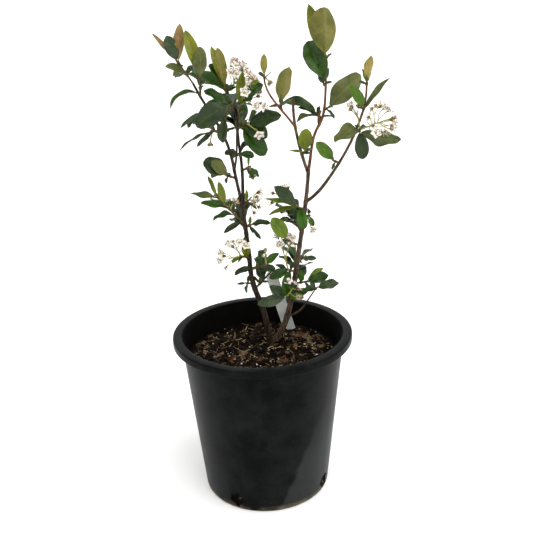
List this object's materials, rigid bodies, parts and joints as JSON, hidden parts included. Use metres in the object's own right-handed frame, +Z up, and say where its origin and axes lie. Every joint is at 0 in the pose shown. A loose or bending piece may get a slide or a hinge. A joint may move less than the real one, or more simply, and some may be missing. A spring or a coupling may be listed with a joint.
{
  "type": "potted chokeberry shrub",
  "caption": "Young chokeberry shrub in flower, two slender branching stems with leafy sprays and white blossom, standing in a tapered black nursery pot filled with bark mix.",
  "frame": {"origin": "centre of the flat underside of the pot", "axes": "+Z up, -Y toward the viewer of the picture, +X to that viewer's right"},
  "size_m": [0.243, 0.2, 0.5332],
  "materials": {
    "pot_plastic": "injection-moulded black polypropylene, satin and dusty",
    "potting_mix": "loose composted bark, matt",
    "label_plastic": "plain white polypropylene strip, blank",
    "bark": "smooth young bark with pale pores",
    "foliage": "fresh leaves with a waxy upper side, and blossom"
  },
  "bodies": {
    "root": {"pot": "pot_plastic", "potting_mix": "potting_mix", "plant_label": "label_plastic", "left_stem": "bark", "right_stem": "bark", "left_leader": "bark", "left_outer_bough": "bark", "left_inner_bough": "bark", "right_leader": "bark", "right_side_bough": "bark", "right_inner_bough": "bark", "cross_bough": "bark", "cut_stub": "bark", "low_side_bough": "bark", "left_tip_spray": "foliage", "left_tip_lower_spray": "foliage", "left_hanging_spray": "foliage", "left_front_spray": "foliage", "left_arching_spray": "foliage", "left_round_leaf_spray": "foliage", "inner_top_spray": "foliage", "inner_right_spray": "foliage", "leader_top_spray": "foliage", "leader_left_spray": "foliage", "leader_mid_spray": "foliage", "leader_right_spray": "foliage", "leader_foot_spray": "foliage", "left_side_spray": "foliage", "left_stem_right_spray": "foliage", "left_bloom_spray": "foliage", "between_spray": "foliage", "left_low_spray": "foliage", "left_low_leaf": "foliage", "right_low_front_spray": "foliage", "right_low_side_spray": "foliage", "low_side_spray": "foliage", "right_mid_left_spray": "foliage", "right_mid_right_leaf": "foliage", "right_bloom_spray": "foliage", "right_stem_right_spray": "foliage", "right_upper_spray": "foliage", "inner_light_spray": "foliage", "cross_tip_spray": "foliage", "cross_olive_spray": "foliage", "right_leader_top_spray": "foliage", "right_leader_right_spray": "foliage", "right_leader_left_spray": "foliage", "side_inner_spray": "foliage", "right_tip_spray": "foliage", "right_tip_lower_spray": "foliage", "right_bloom_tip_spray": "foliage", "back_left_spray": "foliage", "back_low_spray": "foliage", "back_mid_spray": "foliage", "back_top_spray": "foliage", "back_right_spray": "foliage"}
  },
  "joints": []
}
